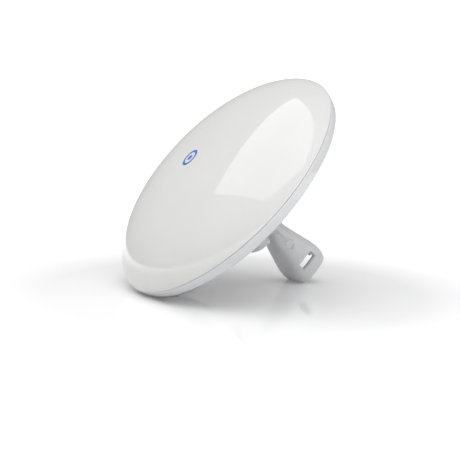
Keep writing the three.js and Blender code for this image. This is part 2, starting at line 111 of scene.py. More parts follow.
WELD = 1e-6  # metres: corners this close after a boolean are one corner
SMOOTH_BELOW = 32  # degrees: edges sharper than this stay crisp
FLAT = 0  # no rounding on a prism's long edges
MM = Matrix.Scale(0.001, 4)
DISH = (
    Matrix.Translation([v / 1000 for v in SEAM])
    @ Matrix.Rotation(math.pi / 2 - RISE, 4, "X")
    @ MM
)
QUARTER_X = Matrix.Rotation(math.pi / 2, 4, "X")
QUARTER_Y = Matrix.Rotation(math.pi / 2, 4, "Y")
JOINT = DISH @ Matrix.Translation((0, BALL_RISE, 0))
ARM = (
    DISH
    @ Matrix.Translation((0, BALL_RISE, -BALL_BACK))
    @ Matrix.Rotation(-ARM_DROOP, 4, "X")
    @ Matrix.Rotation(math.pi, 4, "Y")
)

# ---- Mesh building ------------------------------------------------------------------------------


def make(name, points, faces, place=Matrix.Identity(4), crease=SMOOTH_BELOW):
    """A mesh object from points in the frame of place, with its faces pointing out."""
    mesh = bpy.data.meshes.new(name)
    mesh.from_pydata([place @ Vector(p) for p in points], [], faces)
    bm = bmesh.new()
    bm.from_mesh(mesh)
    bmesh.ops.recalc_face_normals(bm, faces=bm.faces)
    bm.to_mesh(mesh)
    bm.free()
    piece = bpy.data.objects.new(name, mesh)
    bpy.context.scene.collection.objects.link(piece)
    shade(piece, crease)
    return piece


def shade(piece, crease=SMOOTH_BELOW):
    """Smooth faces, with crisp edges where they turn by more than the crease."""
    piece.data.polygons.foreach_set("use_smooth", [True] * len(piece.data.polygons))
    piece.data.set_sharp_from_angle(angle=math.radians(crease))


def apply_modifiers(piece):
    """Keeps the shape that the modifiers make, welded, and removes them."""
    graph = bpy.context.evaluated_depsgraph_get()
    mesh = bpy.data.meshes.new_from_object(piece.evaluated_get(graph))
    bm = bmesh.new()
    bm.from_mesh(mesh)
    bmesh.ops.remove_doubles(bm, verts=bm.verts, dist=WELD)
    bm.to_mesh(mesh)
    bm.free()
    piece.modifiers.clear()
    piece.data = mesh
    shade(piece)


def boolean(piece, operation, *tools):
    """Joins the tools to the piece, or cuts them out of it. The tools are used up."""
    for tool in tools:
        modifier = piece.modifiers.new("boolean", "BOOLEAN")
        modifier.operation = operation
        modifier.solver = "EXACT"
        modifier.object = tool
    apply_modifiers(piece)
    for tool in tools:
        bpy.data.objects.remove(tool)
    return piece


def lathe(name, outline, place, count, crease=SMOOTH_BELOW):
    """Turns a closed outline of (radius, z) points about the frame's Z axis."""
    points, faces, rows = [], [], []
    for radius, z in outline:
        if radius < 1e-6:
            rows.append([len(points)] * count)
            points.append((0, 0, z))
            continue
        rows.append(list(range(len(points), len(points) + count)))
        for step in range(count):
            turn = 2 * math.pi * step / count
            points.append((radius * math.cos(turn), radius * math.sin(turn), z))
    for row, after in zip(rows, rows[1:] + rows[:1]):
        for step in range(count):
            nxt = (step + 1) % count
            face = []
            for corner in (row[step], row[nxt], after[nxt], after[step]):
                if corner not in face:
                    face.append(corner)
            if len(face) > 2:
                faces.append(face)
    return make(name, points, faces, place, crease)


def loft(name, rings, place):
    """A closed skin over rings with equal numbers of points."""
    count = len(rings[0])
    points = [p for ring in rings for p in ring]
    faces = []
    for row in range(len(rings) - 1):
        for step in range(count):
            nxt = (step + 1) % count
            base = row * count
            faces.append((base + step, base + nxt, base + count + nxt, base + count + step))
    faces.append(tuple(range(count)))
    faces.append(tuple(range(len(points) - count, len(points))))
    return make(name, points, faces, place)


def block(name, low, high, place):
    """A box between two corners."""
    rings = []
    for x in (low[0], high[0]):
        corners = ((low[1], low[2]), (high[1], low[2]), (high[1], high[2]), (low[1], high[2]))
        rings.append([(x, y, z) for y, z in corners])
    return loft(name, rings, place)


def arc(centre, radius, start, end, count):
    """Points on an arc, angles in degrees."""
    turns = [math.radians(start + (end - start) * i / count) for i in range(count + 1)]
    return [(centre[0] + radius * math.cos(t), centre[1] + radius * math.sin(t)) for t in turns]


def filleted(outline, radii, count=5):
    """Rounds each corner of a closed outline by its radius."""
    result = []
    total = len(outline)
    for index, (corner, radius) in enumerate(zip(outline, radii)):
        here = Vector(corner)
        back = Vector(outline[index - 1]) - here
        ahead = Vector(outline[(index + 1) % total]) - here
        reach = min(radius, 0.45 * back.length, 0.45 * ahead.length)
        if reach < 0.02:
            result.append(tuple(here))
            continue
        first = here + back.normalized() * reach
        last = here + ahead.normalized() * reach
        for i in range(count + 1):
            t = i / count
            point = first * (1 - t) ** 2 + here * 2 * t * (1 - t) + last * t**2
            result.append(tuple(point))
    return result


def inset_outline(outline, amount):
    """Moves each side of an outline inwards."""
    total = len(outline)
    pairs = [(outline[i - 1], outline[i]) for i in range(total)]
    sign = 1 if sum(a[0] * b[1] - b[0] * a[1] for a, b in pairs) > 0 else -1
    moved = []
    for i in range(total):
        here = outline[i]
        normals = []
        for a, b in ((outline[i - 1], here), (here, outline[(i + 1) % total])):
            d = (Vector(b) - Vector(a)).normalized()
            normals.append(Vector((-d.y, d.x)) * sign)
        n1, n2 = normals
        det = n1.x * n2.y - n1.y * n2.x
        point = Vector(here)
        if abs(det) < 0.12:  # the two sides are nearly in line
            point += (n1 + n2).normalized() * amount
        else:
            point += Vector((amount * n2.y - amount * n1.y, n1.x * amount - n2.x * amount)) / det
        moved.append(tuple(point))
    return moved


def prism(name, outline, half_width, place, edge, count=5, centre=0.0):
    """A side outline of (depth, height) across the dish, its long edges rounded by edge."""
    rings = []
    sweep = [(-1, i / count) for i in range(count + 1)]
    sweep += [(1, 1 - i / count) for i in range(count + 1)]
    for side, part in sweep:
        turn = part * math.pi / 2
        inset = edge * (1 - math.sin(turn))
        x = centre + side * (half_width - edge + edge * math.cos(turn))
        ring = inset_outline(outline, inset) if edge else outline
        rings.append([(x, height, -depth) for depth, height in ring])
    return loft(name, rings, place)


def crowned(name, outline, half_width, place):
    """A side outline of (depth, height, depth pull, height pull) across the dish.

    Towards both sides each point moves by its pull, so that the long edges are round.
    """
    flat = half_width - EDGE_ROUND
    reaches = [math.sin(math.pi / 2 * i / 14) for i in range(15)]
    rings = []
    for side, reach in [(-1, r) for r in reversed(reaches)] + [(1, r) for r in reaches]:
        share = 1 - math.sqrt(max(0.0, 1 - reach**2))
        x = side * (flat + EDGE_ROUND * reach)
        rings.append([
            (x, up + lift * share, -depth - fall * share) for depth, up, fall, lift in outline
        ])
    return loft(name, rings, place)


def smooth(low, high, value):
    """0 at low, 1 at high, with an S between."""
    t = min(max((value - low) / (high - low), 0.0), 1.0)
    return t * t * (3 - 2 * t)


# ---- Materials ----------------------------------------------------------------------------------


class Nodes:
    """A short way to wire one material."""

    def __init__(self, name):
        self.material = bpy.data.materials.new(name)
        self.material.use_nodes = True
        self.tree = self.material.node_tree
        self.shader = self.tree.nodes["Principled BSDF"]
        self.place = self.add("ShaderNodeTexCoord").outputs["Object"]

    def add(self, kind, **settings):
        node = self.tree.nodes.new(kind)
        for key, value in settings.items():
            setattr(node, key, value)
        return node

    def link(self, source, target):
        if isinstance(source, (int, float)):
            target.default_value = source
        else:
            self.tree.links.new(source, target)

    def noise(self, size, detail=3.0, stretch=None, roughness=0.55):
        """Noise with features of about that size in millimetres."""
        node = self.add("ShaderNodeTexNoise")
        node.inputs["Scale"].default_value = 1000 / size
        node.inputs["Detail"].default_value = detail
        node.inputs["Roughness"].default_value = roughness
        source = self.place
        if stretch:
            mapping = self.add("ShaderNodeMapping")
            mapping.inputs["Scale"].default_value = stretch
            self.link(source, mapping.inputs["Vector"])
            source = mapping.outputs["Vector"]
        self.link(source, node.inputs["Vector"])
        return node.outputs["Fac"]

    def spread(self, value, low, high, to_low=0.0, to_high=1.0):
        node = self.add("ShaderNodeMapRange")
        for socket, number in zip(
            ("From Min", "From Max", "To Min", "To Max"), (low, high, to_low, to_high)
        ):
            node.inputs[socket].default_value = number
        self.link(value, node.inputs["Value"])
        return node.outputs["Result"]

    def math(self, operation, a, b=0.0):
        node = self.add("ShaderNodeMath", operation=operation)
        self.link(a, node.inputs[0])
        self.link(b, node.inputs[1])
        return node.outputs[0]

    def blend(self, share, a, b):
        node = self.add("ShaderNodeMix", data_type="RGBA")
        self.link(share, node.inputs["Factor"])
        for value, socket in ((a, node.inputs[6]), (b, node.inputs[7])):
            if isinstance(value, tuple):
                socket.default_value = (*value, 1)
            else:
                self.link(value, socket)
        return node.outputs[2]

    def bump(self, height, distance):
        """Bump with that many millimetres between the lowest and the highest."""
        node = self.add("ShaderNodeBump")
        node.inputs["Distance"].default_value = distance / 1000
        self.link(height, node.inputs["Height"])
        self.link(node.outputs["Normal"], self.shader.inputs["Normal"])

    def edges(self):
        """1 on outer edges, 0 elsewhere."""
        geometry = self.add("ShaderNodeNewGeometry")
        return self.spread(geometry.outputs["Pointiness"], 0.51, 0.6)

    def upward(self):
        """1 where the surface faces up, as it stands."""
        geometry = self.add("ShaderNodeNewGeometry")
        split = self.add("ShaderNodeSeparateXYZ")
        self.link(geometry.outputs["Normal"], split.inputs[0])
        return self.spread(split.outputs["Z"], 0.1, 1.0)


def moulded(name, color, roughness, grain=0.35, depth=0.012, worn=0.06, dust=0.03):
    """Moulded plastic: flow tone, fine grain, uneven gloss, handling hairlines, brighter edges."""
    n = Nodes(name)
    tone = n.spread(n.noise(38, 4), 0.3, 0.7)
    fleck = n.spread(n.noise(1.1, 2), 0.35, 0.7)
    base = n.blend(tone, tuple(c * (1 - 0.035) for c in color), color)
    base = n.blend(n.math("MULTIPLY", fleck, 0.10), base, tuple(c * 0.93 for c in color))
    edge = n.math("MULTIPLY", n.edges(), worn * 8)
    bright = tuple(min(1, c * 1.06 + 0.01) for c in color)
    base = n.blend(n.math("MINIMUM", edge, 0.5), base, bright)
    film = n.math("MULTIPLY", n.upward(), n.spread(n.noise(9, 5), 0.45, 0.8, 0, dust * 6))
    dusty = (color[0], color[1] * 0.985, color[2] * 0.96)
    base = n.blend(film, base, tuple(c * 0.95 for c in dusty))
    n.link(base, n.shader.inputs["Base Color"])
    uneven = n.spread(n.noise(14, 4), 0.3, 0.7, roughness * 0.88, roughness * 1.16)
    hair = n.spread(n.noise(5, 2, stretch=(1, 14, 14)), 0.66, 0.72, 0, 0.05)
    rough = n.math("ADD", n.math("ADD", uneven, hair), n.math("MULTIPLY", film, 0.2))
    n.link(rough, n.shader.inputs["Roughness"])
    n.shader.inputs["IOR"].default_value = 1.58
    n.bump(n.noise(grain, 2, roughness=0.4), depth)
    return n


def dome_plastic(name, color, roughness, mark):
    """The radome's gloss plastic with the printed aiming mark, a ring round a dot."""
    n = moulded(name, color, roughness, grain=1.6, depth=0.004, worn=0.03, dust=0.012)
    away = n.add("ShaderNodeVectorMath", operation="DISTANCE")
    n.link(n.place, away.inputs[0])
    away.inputs[1].default_value = mark
    millimetres = n.math("MULTIPLY", away.outputs["Value"], 1000)
    from_ring = n.math("ABSOLUTE", n.math("SUBTRACT", millimetres, 5.8))
    ring = n.spread(from_ring, 1.16, 1.02)
    dot = n.spread(millimetres, 2.36, 2.24)
    ink = n.spread(n.noise(0.4, 2), 0.2, 0.4, 0.86, 1)
    printed = n.math("MULTIPLY", n.math("MAXIMUM", ring, dot), ink)
    tint = n.blend(n.spread(n.noise(1.5), 0.3, 0.7), (0.012, 0.11, 0.42), (0.016, 0.14, 0.5))
    base = n.shader.inputs["Base Color"].links[0].from_socket
    n.link(n.blend(printed, base, tint), n.shader.inputs["Base Color"])
    return n


def metal(name, color, roughness, stretch=(1, 9, 9), grain=2.0, depth=0.004):
    """Worked metal: drawn lines, uneven gloss, dull spots, bright edges."""
    n = Nodes(name)
    lines = n.noise(grain, 3, stretch=stretch)
    spots = n.spread(n.noise(4, 5), 0.5, 0.75)
    base = n.blend(n.spread(lines, 0.3, 0.7), tuple(c * 0.88 for c in color), color)
    base = n.blend(n.math("MULTIPLY", spots, 0.35), base, tuple(c * 0.7 for c in color))
    bright = tuple(min(1, c * 1.15) for c in color)
    base = n.blend(n.math("MULTIPLY", n.edges(), 0.6), base, bright)
    n.link(base, n.shader.inputs["Base Color"])
    rough = n.spread(lines, 0.3, 0.7, roughness * 0.75, roughness * 1.25)
    n.link(n.math("ADD", rough, n.math("MULTIPLY", spots, 0.12)), n.shader.inputs["Roughness"])
    n.shader.inputs["Metallic"].default_value = 1
    n.bump(lines, depth)
    return n


def rubber(name, color, roughness):
    """Rubber: matte, mottled, with a chalky bloom."""
    n = Nodes(name)
    bloom = n.spread(n.noise(3, 5), 0.45, 0.75, 0, 0.35)
    base = n.blend(bloom, color, tuple(min(1, c * 1.35 + 0.02) for c in color))
    n.link(base, n.shader.inputs["Base Color"])
    uneven = n.spread(n.noise(2, 3), 0.3, 0.7, roughness - 0.1, roughness + 0.08)
    n.link(uneven, n.shader.inputs["Roughness"])
    n.bump(n.noise(0.25, 3), 0.03)
    return n


def circuit(name, color):
    """Solder mask with the faint relief of tracks under it."""
    n = Nodes(name)
    brick = n.add("ShaderNodeTexBrick")
    brick.inputs["Scale"].default_value = 420
    brick.inputs["Mortar Size"].default_value = 0.03
    n.link(n.place, brick.inputs["Vector"])
    tracks = brick.outputs["Fac"]
    base = n.blend(n.spread(n.noise(6, 3), 0.3, 0.7), tuple(c * 0.8 for c in color), color)
    base = n.blend(n.math("MULTIPLY", tracks, 0.6), base, tuple(c * 1.5 for c in color))
    n.link(base, n.shader.inputs["Base Color"])
    n.link(n.spread(n.noise(2), 0.3, 0.7, 0.28, 0.42), n.shader.inputs["Roughness"])
    n.bump(tracks, 0.03)
    return n


def clear(name, color, roughness):
    """Clear moulded plastic, faintly frosted."""
    n = Nodes(name)
    frost = n.spread(n.noise(1.2, 3), 0.3, 0.7)
    n.link(n.blend(frost, tuple(c * 0.93 for c in color), color), n.shader.inputs["Base Color"])
    n.link(n.spread(frost, 0, 1, roughness, roughness + 0.12), n.shader.inputs["Roughness"])
    n.shader.inputs["Transmission Weight"].default_value = 0.55
    n.bump(n.noise(0.5), 0.01)
    return n


# ---- Radome -------------------------------------------------------------------------------------


def dome_height(radius, wall=0):
    """The dome's height over the seam, outside or, with its wall, inside."""
    share = min(radius / (DISH_RADIUS - wall), 1.0)
    return (DOME_HEIGHT - wall) * (1 - share**DOME_POWER) ** DOME_ROOT


def build_radome():
    # the skirt that nests in the bowl, then the rim's rounded lip
    outline = [(89.8, 0.6), (89.8, -3.0), (90.0, -3.2), (91.3, -3.2), (91.5, -3.0), (91.5, 0.28)]
    outline += [(93.95, 0.06), (94.22, 0.1), (94.38, 0.26), (94.42, 0.5)]
    for step in range(1, 90):
        turn = math.pi / 2 * step / 90
        radius = DISH_RADIUS * math.cos(turn)
        if dome_height(radius) > 0.85:
            outline.append((radius, dome_height(radius)))
    outline.append((0, DOME_HEIGHT))
    outline.append((0, DOME_HEIGHT - DOME_WALL))
    for step in range(40, 0, -1):
        turn = math.pi / 2 * step / 41
        radius = (DISH_RADIUS - DOME_WALL) * math.cos(turn)
        outline.append((radius, dome_height(radius, DOME_WALL)))
    return lathe("radome_fine", outline, DISH, 288, crease=50)


# ---- Rear shell ---------------------------------------------------------------------------------


def bowl_depth(radius, inset=0.0):
    """How far the bowl's face lies behind the seam."""
    return BOWL_DEPTH - inset - BOWL_CURVE * radius**2


def bowl_wall():
    outline = [(21, -bowl_depth(21))]
    for step in range(1, 37):
        radius = 21 + (91.2 - 21) * step / 36
        # a faint step round the bowl, where the reflector's rim sits inside
        step_out = 0.35 * (smooth(58, 59.2, radius) - smooth(59.2, 92, radius))
        outline.append((radius, -bowl_depth(radius) + step_out))
    # the rim band, from its rear edge to the seam
    outline += [(91.7, -7.55), (92.35, -7.25), (92.85, -6.95), (93.15, -6.55), (93.3, -6.0)]
    outline += [(93.75, -4.4), (94.05, -3), (94.3, -1.6), (94.36, -0.44), (94.3, -0.22)]
    outline += [(94.1, -0.12), (92.4, -0.12), (91.9, -0.6)]
    for step in range(25):
        radius = 91.9 + (24 - 91.9) * step / 24
        outline.append((radius, -bowl_depth(radius, BOWL_WALL)))
    return lathe("bowl", outline, DISH, 288)


def hub():
    """The ball's socket inside the threaded collar."""

    def ball_arc(radius, start, end, count):
        return [
            (radius * math.sin(math.radians(a)), -BALL_BACK + radius * math.cos(math.radians(a)))
            for a in (start + (end - start) * i / count for i in range(count + 1))
        ]

    outline = ball_arc(SOCKET_RADIUS, 0, 90, 20)
    outline += [(SOCKET_RADIUS, -SEAT_START), (COLLAR_BORE, -SEAT_START), (COLLAR_BORE, -41.9)]
    outline += [(23.1, -COLLAR_END), (24.6, -COLLAR_END)]
    for turn in range(3):
        z = -41.4 + turn * THREAD_PITCH
        outline += [(THREAD_ROOT, z - 0.3), (COLLAR_RADIUS, z + 0.3)]
        outline += [(COLLAR_RADIUS, z + 0.8), (THREAD_ROOT, z + 1.35)]
    outline += [(COLLAR_RADIUS, -35.6), (COLLAR_RADIUS, -32.8)]
    outline += ball_arc(SOCKET_RADIUS + CUP_WALL, 78, 0, 16)
    return lathe("hub", outline, JOINT, 128)


def build_rear_shell():
    spine = filleted(
        [
            (12, -50, 0, 0),
            (15, 0.4 - COVER_TOP, 0, 0),
            (32.3, 0.4 - COVER_TOP, -EDGE_DROP, 0),
            (35.8, -39.6, -EDGE_DROP, 0),
            (34.6, -37.2, -EDGE_DROP, 0),
            (34.6, -20, -EDGE_DROP, 0),
            (24, -20, 0, 0),
        ],
        [0, 0, 0.35, 3, 3, 2.5, 0],
    )
    port = [(12, -63), (27.1, -63), (25.2, -67.8), (22.8, -72.9), (17.9, -79.2), (11.4, -83.6)]
    port = prism("port", port + [(12, -80)], 14.2, DISH, 0.4, count=2)
    spine = crowned("spine", spine, SPINE_HALF_WIDTH, DISH)
    shell = boolean(bowl_wall(), "UNION", hub(), spine, port)
    board_room = [(8, -31.5), (32.2, -31.5), (33.2, -40), (29.2, -59.8), (26.8, -59.8)]
    board_room += [(26.8, -63), (8, -63)]
    port_room = [(13.6, -65), (40, -65), (40, -86), (12.6, -86), (13.6, -82)]
    reset_hole = DISH @ Matrix.Translation((RESET_X, -64, -16)) @ QUARTER_X
    tools = [
        prism("spine_room", board_room, 15.3, DISH, FLAT),
        prism("port_room", port_room, 12.6, DISH, FLAT),
        block("jack_window", (-8.3, -66, -26.8), (8.3, -62, -12.6), DISH),
        lathe("reset_hole", [(0, -3), (1.5, -3), (1.5, 3), (0, 3)], reset_hole, 32),
        block("light_window", (10.3, -57.3, -40), (12.7, -45.7, -28), DISH),
    ]
    return boolean(shell, "DIFFERENCE", *tools)


# ---- Port cover ---------------------------------------------------------------------------------


def rest_height(depth):
    """Where the surface that the radio stands on cuts the dish's frame, at that depth."""
    return -(SEAM[2] - math.sin(RISE) * depth) / math.cos(RISE)


STANDING = (
    DISH
    @ Matrix.Translation((0, rest_height(OUTLET_DEPTH), -OUTLET_DEPTH))
    @ Matrix.Rotation(RISE - math.pi / 2, 4, "X")
)


def build_port_cover():
    # depth, height, and how far each is pulled in towards both sides
    outline = [
        (10.2, -88.8, 0, 0),
        (11.8, rest_height(11.8), 0, 1.7),
        (19.4, rest_height(19.4), -0.8, 1.7),
        (23, -77.8, -EDGE_DROP, 0),
        (26.2, -73.9, -EDGE_DROP, 0),
        (28.7, -68.5, -EDGE_DROP, 0),
        (32.1, -COVER_TOP, -EDGE_DROP, 0),
        (24, -COVER_TOP, -COVER_HUG, 0),
        (22.3, -66.5, -COVER_HUG, 0),
        (17.9, -75, -COVER_HUG, 0),
        (13.9, -82, -COVER_HUG, 0),
    ]
    rounded = filleted(outline, [0.3, 0.3, 1.2, 3, 3, 3, 0.35, 0.25, 3, 3, 3])
    cover = crowned("port_cover_fine", rounded, SPINE_HALF_WIDTH, DISH)
    room = [(5, -60), (5, -86.2), (11.4, -86.2), (18.5, -80.2), (20.8, -77), (24, -73)]
    room = prism("room", room + [(26.4, -68), (28.7, -62.6), (28.7, -60)], 14.6, DISH, FLAT)
    outlet = block("outlet", (-4.2, -30, -6), (4.2, 4.2, 3), STANDING)
    boolean(cover, "DIFFERENCE", room, outlet)
    # finger grooves across the cover's rear face, apart from each other
    groove = [(0, -9.5), (0.38, -9.2), (0.5, -8.6), (0.5, 8.6), (0.38, 9.2), (0, 9.5)]
    grooves = []
    for step in range(GROOVES):
        share = 0.14 + 0.18 * step
        place = DISH @ Matrix.Translation((0, -68.55 - 5.4 * share, -28.72 + 2.5 * share))
        grooves.append(lathe(f"groove_{step}", groove, place @ QUARTER_Y, 20))
    return boolean(cover, "DIFFERENCE", *grooves)


# ---- Lock nut -----------------------------------------------------------------------------------


# Across half a wing, from its middle out: distance below its reach, share of its half angle.
WING_FACET = [(0.06, 0.06), (0.45, 0.4), (1.1, 0.82), (1.5, 0.97), (2.6, 1.07), (4.2, 1.09)]
WING_ROOT = 18

# Along a wing, from the rear: reach, z, slimness.
WING_RINGS = [
    (33.6, -46.0, 0.9),
    (34.9, -45.7, 0.95),
    (35.8, -44.9, 0.985),
    (36.3, -43.8, 1.0),
    (36.3, -36.2, 1.0),
    (36.0, -35.8, 0.985),
]


def wing_block(turn):
    """One grip wing: two facets meet in an edge along its middle."""
    rings = []
    for reach, z, slim in WING_RINGS:
        half = [(reach - below, share) for below, share in WING_FACET] + [(WING_ROOT, 1.0)]
        ring = []
        for radius, share in [(r, -a) for r, a in reversed(half)] + half:
            angle = turn + WING_HALF_ANGLE * share * slim
            ring.append((radius * math.cos(angle), radius * math.sin(angle), z))
        rings.append(ring)
    return loft("wing", rings, JOINT)


def build_lock_nut():
    outline = [(0, -NUT_REAR), (20.4, -NUT_REAR), (21.0, -46.25), (NUT_REAR_RADIUS, -45.7)]
    for step in range(1, 9):
        turn = step / 8 * math.pi / 2
        radius = NUT_REAR_RADIUS + 7.8 * math.sin(turn) ** 0.9
        outline.append((radius, -45.7 + 5.2 * (1 - math.cos(turn))))
    outline += [(NUT_RADIUS, -36.0), (29.1, -35.55), (28.6, -NUT_FRONT), (0, -NUT_FRONT)]
    body = lathe("lock_nut_fine", outline, JOINT, 144)
    boolean(body, "UNION", *[wing_block(math.radians(turn)) for turn in WING_TURNS])
    bore = [(0, -60), (15.4, -60), (15.4, -46.5), (15.1, -46.0), (14.5, -45.5)]
    bore += [(NUT_LIP_RADIUS, -45.0), (NUT_LIP_RADIUS, -NUT_LIP_DEPTH)]
    bore += [(NUT_BORE, -NUT_LIP_DEPTH), (NUT_BORE, 0), (0, 0)]
    return boolean(body, "DIFFERENCE", lathe("bore", bore, JOINT, 96))


# ---- Ball, arm and screw ------------------------------------------------------------------------


def build_ball():
    outline = [(0, -BALL_RADIUS)]
    for step in range(1, 60):
        turn = math.pi * step / 64
        outline.append((BALL_RADIUS * math.sin(turn), -BALL_RADIUS * math.cos(turn)))
    outline = [p for p in outline if not (p[1] > 0 and p[0] < 5)]
    # the stub with its screw hole
    outline += [(5, 15.4), (5, 29.5), (4.6, 30), (1.9, 30), (1.6, 29.7), (1.6, 17), (0, 17)]
    return lathe("ball_fine", outline, ARM, 96)


# along, half width, top, bottom, squareness
ARM_RINGS = [
    (14.3, 7.8, 7.8, -7.8, 2),
    (20, 8.6, 8, -8.6, 2.2),
    (25, 9.8, 8.2, -9.8, 2.6),
    (32, 11.4, 9.6, -11.2, 3),
    (43, 13.8, 12.2, -13.2, 3.4),
    (53, 15.4, 14.2, -15.2, 3.8),
    (60, 15.6, 14.2, -15.8, 3.8),
    (63.8, 15, 13.4, -15.6, 3.6),
    (65, 14, 12.4, -15, 3.4),
]


def arm_section(along):
    """The arm's half width, top, bottom and squareness there, on a smooth curve."""
    last = len(ARM_RINGS) - 1
    index = max(i for i in range(last) if ARM_RINGS[i][0] <= along + 1e-9)
    a, b = ARM_RINGS[index], ARM_RINGS[index + 1]
    t = (along - a[0]) / (b[0] - a[0])
    if index + 1 >= last - 1:
        return [x + (y - x) * t for x, y in zip(a[1:], b[1:])]
    before, after = ARM_RINGS[max(index - 1, 0)], ARM_RINGS[index + 2]
    result = []
    for k in range(1, 5):
        m0 = (b[k] - before[k]) / (b[0] - before[0]) * (b[0] - a[0])
        m1 = (after[k] - a[k]) / (after[0] - a[0]) * (b[0] - a[0])
        h = (2 * t**3 - 3 * t**2 + 1, t**3 - 2 * t**2 + t, -2 * t**3 + 3 * t**2, t**3 - t**2)
        result.append(h[0] * a[k] + h[1] * m0 + h[2] * b[k] + h[3] * m1)
    return result


def cheek_relief(along, rise):
    """How far the arm's cheek stands out there.

    A panel lies below a long bead. A disc is let into it, and the bead bends round the disc's top.
    """
    bead = BEAD_RISE + 0.02 * (along - BEAD_START)
    from_disc = math.hypot(along - DISC_AT, rise - DISC_RISE)
    clear_of_disc = smooth(3.3, 3.9, from_disc)
    ends = smooth(19, 22, along) * smooth(50, 47, along)
    relief = 0.55 * smooth(0.35, -0.35, rise - bead) * ends * clear_of_disc
    relief += 0.85 * math.exp(-(((rise - bead) / 0.6) ** 2)) * ends * clear_of_disc
    upper = smooth(-2.5, 1.0, rise - DISC_RISE)
    relief += 0.85 * math.exp(-(((from_disc - DISC_RING) / 0.55) ** 2)) * upper
    return relief - 0.45 * smooth(3.2, 2.7, from_disc)


def arm_ring(along, inset=0.0, relief=False, section=None):
    """One ring of the arm, inset from its skin, with the cheeks' relief where asked."""
    count = 168
    half_width, top, bottom, squareness = section or arm_section(along)
    middle, half = (top + bottom) / 2, (top - bottom) / 2 - inset
    width, power = half_width - inset, 2 / squareness
    ring = []
    for step in range(count):
        turn = 2 * math.pi * step / count
        c, s = math.cos(turn), math.sin(turn)
        x = width * math.copysign(abs(c) ** power, c)
        y = middle + half * math.copysign(abs(s) ** power, s)
        if relief and abs(x) > 0.55 * width:
            x += math.copysign(cheek_relief(along, y) * smooth(0.55, 0.85, abs(x) / width), x)
        ring.append((x, y, along))
    return ring


def slot_cutter():
    """The strap slot's tool: straight inside, with a small flare at each cheek."""
    rings = []
    flare = [(14.2, 0), (14.7, 0.1), (15.6, 0.75), (30, 5.5)]
    for x, grow in [(-x, grow) for x, grow in reversed(flare)] + flare:
        half_h, half_w = SLOT_HEIGHT / 2 + grow, SLOT_WIDTH / 2 + grow
        ring = []
        for cx, cy, start in ((1, 1, 0), (-1, 1, 90), (-1, -1, 180), (1, -1, 270)):
            centre = (cx * (half_w - SLOT_CORNER - grow), cy * (half_h - SLOT_CORNER - grow))
            ring += arc(centre, SLOT_CORNER + grow, start, start + 90, 4)
        rings.append([(x, SLOT_RISE + v, SLOT_AT + a) for a, v in ring])
    return loft("slot", rings, ARM)


def build_arm():
    places = [14.3, 15.5, 17, 18.5]
    places += [20 + 0.42 * i for i in range(80)]
    places += [54, 55.5, 57, 58.5, 60, 61.3, 62.6, 63.4, 63.8]
    rings = [arm_ring(a, relief=True) for a in places]
    # the rounded end
    before_end, end = ARM_RINGS[-2], ARM_RINGS[-1]
    for part in range(1, 5):
        turn = part / 4 * math.pi / 2
        shrink = 1 - math.cos(turn)
        section = [a + (b - a) * shrink * 0.75 for a, b in zip(before_end[1:], end[1:])]
        z = before_end[0] + 1.2 * math.sin(turn)
        rings.append([(x, y, z) for x, y, _ in arm_ring(0, section=section)])
    body = loft("arm_fine", rings, ARM)
    inner = [arm_ring(a, ARM_WALL) for a in (31.0, 32, 36, 40, 44, 48, 52, 56, 60, 63.8)]
    for along, thinner in ((64.6, 0.2), (65.4, 1.0), (68, 1.0)):
        mouth = arm_ring(0, ARM_WALL - thinner, section=(14.6, 12.9, -15.3, 3.5))
        inner.append([(x, y, along) for x, y, _ in mouth])
    # the ball's room, the bore for its stub and the room for the screw's head
    turns = [math.pi * i / 48 for i in range(1, 43)]
    room = [(0, -BALL_ROOM)]
    room += [(BALL_ROOM * math.sin(t), -BALL_ROOM * math.cos(t)) for t in turns]
    room += [(STUB_BORE, 15.731), (STUB_BORE, HEAD_SEAT), (HEAD_ROOM, HEAD_SEAT)]
    room += [(HEAD_ROOM, 36), (0, 36)]
    tools = [lathe("ball_room", room, ARM, 96), loft("hollow", inner, ARM), slot_cutter()]
    for place in (-1.5, -0.5, 0.5, 1.5):
        x = place * TOOTH_PITCH
        groove = [(x - TOOTH_HALF_GAP, 65.6), (x, 61.9), (x + TOOTH_HALF_GAP, 65.6)]
        rings = [[(a, y, z) for a, z in groove] for y in (-30, 30)]
        tools.append(loft("tooth_gap", rings, ARM))
    # all that would be below the surface that the radio stands on, in metres
    tools.append(block("below", (-0.1, -0.1, -0.05), (0.1, 0.2, 0.0), Matrix.Identity(4)))
    return boolean(body, "DIFFERENCE", *tools)


def build_ball_screw():
    outline = [(0, 32.5), (3.6, 32.45), (5.0, 32.15), (5.8, 31.6), (6.2, 30.9), (6.2, 30.5)]
    outline += [(6.0, 30.3), (1.3, 30.3), (1.3, 19.6), (1.0, 19.2), (0, 19.2)]
    piece = lathe("ball_screw_fine", outline, ARM, 64)
    # the cross recess in its head
    half_slot = 0.45
    cuts = []
    for turn in (0, 90):
        spin = ARM @ Matrix.Rotation(math.radians(turn), 4, "Z")
        rings = []
        for z, g in ((31.1, 1.6), (32.6, 2.6), (34, 2.6)):
            low, high = -g - 0.2, g + 0.2
            corners = ((low, -half_slot), (high, -half_slot), (high, half_slot), (low, half_slot))
            rings.append([(x, y, z) for x, y in corners])
        cuts.append(loft("recess", rings, spin))
    return boolean(piece, "DIFFERENCE", *cuts)


# ---- Small pieces at the port -------------------------------------------------------------------


def build_grommet():
    outline = [(3.22, 0.34), (3.1, 0.6), (3.1, 1.8), (3.22, 2.04), (3.45, 2.1), (3.7, 2.02)]
    outline += [(3.8, 1.8), (3.8, 0.6), (3.7, 0.38), (3.45, 0.3)]
    return lathe("cable_grommet_fine", outline, STANDING, 64)


